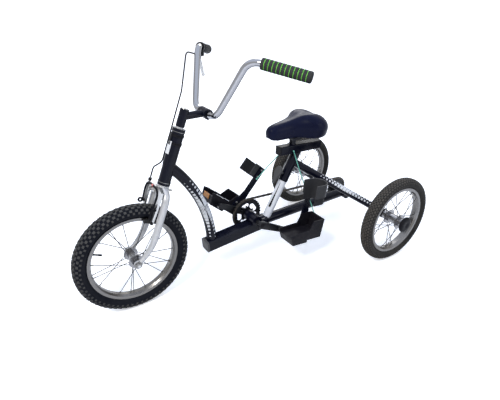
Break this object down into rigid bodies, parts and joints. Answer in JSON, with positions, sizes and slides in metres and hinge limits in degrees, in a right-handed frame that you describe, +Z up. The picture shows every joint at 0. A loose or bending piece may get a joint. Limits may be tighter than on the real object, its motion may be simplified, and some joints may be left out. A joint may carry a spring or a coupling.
{
  "type": "therapy tricycle",
  "caption": "Adaptive therapy tricycle with a steered front wheel, chain-driven rear axle, high-rise bar, padded saddle, and foot supports with calf cuffs on the pedal pins.",
  "frame": {"origin": "on the ground at the centre of the machine's box", "axes": "+X forward, +Y to the rider's left, +Z up"},
  "size_m": [1.385, 0.728, 0.8638],
  "materials": {
    "frame_black": "gloss enamel",
    "bright_tube": "bright gloss enamel",
    "chrome": "polished plate",
    "badge_white": "gloss sticker, blank",
    "grey_plastic": "moulded",
    "black_plastic": "moulded",
    "saddle_vinyl": "smooth vinyl",
    "chain_steel": "oiled",
    "mint_cord": "braided elastic",
    "fork_silver": "silver enamel",
    "foam_grip": "foam with bright rings",
    "black_grip": "moulded rubber",
    "caliper_alloy": "cast, lightly polished",
    "pad_rubber": "moulded block",
    "cable_black": "smooth housing",
    "front_tyre": "dark rubber",
    "rear_tyre": "dusty rubber",
    "rim_alloy": "rolled, polished",
    "hub_steel": "plated",
    "drive_black": "satin enamel",
    "foot_plastic": "moulded",
    "cuff_plastic": "moulded",
    "amber": "moulded reflector"
  },
  "bodies": {
    "frame": {"head_tube": "frame_black", "headset_lower": "chrome", "headset_upper": "chrome", "head_badge": "badge_white", "bottom_bracket": "frame_black", "lower_beam": "frame_black", "beam_end_cap": "grey_plastic", "down_tube": "frame_black", "axle_bearing": "frame_black", "rear_beam": "frame_black", "seat_tube": "bright_tube", "seat_pillar": "frame_black", "clamp_knob": "grey_plastic", "stay_left": "frame_black", "stay_right": "frame_black", "housing_left": "frame_black", "housing_right": "frame_black", "saddle_beam": "frame_black", "beam_plug_front": "black_plastic", "beam_plug_rear": "black_plastic", "seat_post": "frame_black", "saddle_clamp": "frame_black", "saddle": "saddle_vinyl", "chain": "chain_steel", "elastic_cord_left": "mint_cord", "elastic_cord_right": "mint_cord"},
    "steering": {"fork": "fork_silver", "stem": "frame_black", "handlebar": "chrome", "grip_left": "foam_grip", "grip_right": "black_grip", "brake_lever": "black_plastic", "brake_caliper": "caliper_alloy", "brake_pads": "pad_rubber", "brake_cable": "cable_black", "front_axle": "caliper_alloy"},
    "front_wheel": {"front_tyre": "front_tyre", "front_rim": "rim_alloy", "front_hub": "hub_steel"},
    "drive_axle": {"rear_axle": "frame_black", "rear_sprocket": "drive_black", "right_hub": "hub_steel", "right_rim": "rim_alloy", "right_tyre": "rear_tyre", "right_cap": "black_plastic"},
    "left_wheel": {"left_hub": "hub_steel", "left_rim": "rim_alloy", "left_tyre": "rear_tyre", "left_cap": "black_plastic"},
    "cranks": {"crank": "drive_black", "chainring": "drive_black"},
    "pedal_left": {"foot_support_left": "foot_plastic", "calf_bar_left": "frame_black", "calf_cuff_left": "cuff_plastic"},
    "pedal_right": {"foot_support_right": "foot_plastic", "calf_bar_right": "frame_black", "calf_cuff_right": "cuff_plastic", "foot_reflector": "amber"}
  },
  "joints": [
    {"name": "steering", "type": "hinge", "parent": "frame", "child": "steering", "pos_m": [0.34766, 0, 0.46063], "axis": [-0.3746, 0, 0.9272], "range_deg": [-45, 45]},
    {"name": "front_wheel_spin", "type": "hinge", "parent": "steering", "child": "front_wheel", "pos_m": [0.4895, 0, 0.203], "axis": [0, 1, 0], "continuous": true},
    {"name": "drive_axle_spin", "type": "hinge", "parent": "frame", "child": "drive_axle", "pos_m": [-0.5105, 0, 0.182], "axis": [0, 1, 0], "continuous": true},
    {"name": "left_wheel_spin", "type": "hinge", "parent": "frame", "child": "left_wheel", "pos_m": [-0.5105, 0.302, 0.182], "axis": [0, 1, 0], "continuous": true},
    {"name": "crank_spin", "type": "hinge", "parent": "frame", "child": "cranks", "pos_m": [-0.0085, 0, 0.2], "axis": [0, 1, 0], "continuous": true, "deforming": ["elastic_cord_left", "elastic_cord_right"]},
    {"name": "pedal_left_spin", "type": "hinge", "parent": "cranks", "child": "pedal_left", "pos_m": [-0.12152, 0.125, 0.13991], "axis": [0, 1, 0], "continuous": true},
    {"name": "pedal_right_spin", "type": "hinge", "parent": "cranks", "child": "pedal_right", "pos_m": [0.10452, -0.125, 0.26009], "axis": [0, 1, 0], "continuous": true}
  ],
  "couplings": [
    {"joint": "crank_spin", "follows": "drive_axle_spin", "ratio": 0.78125}
  ]
}
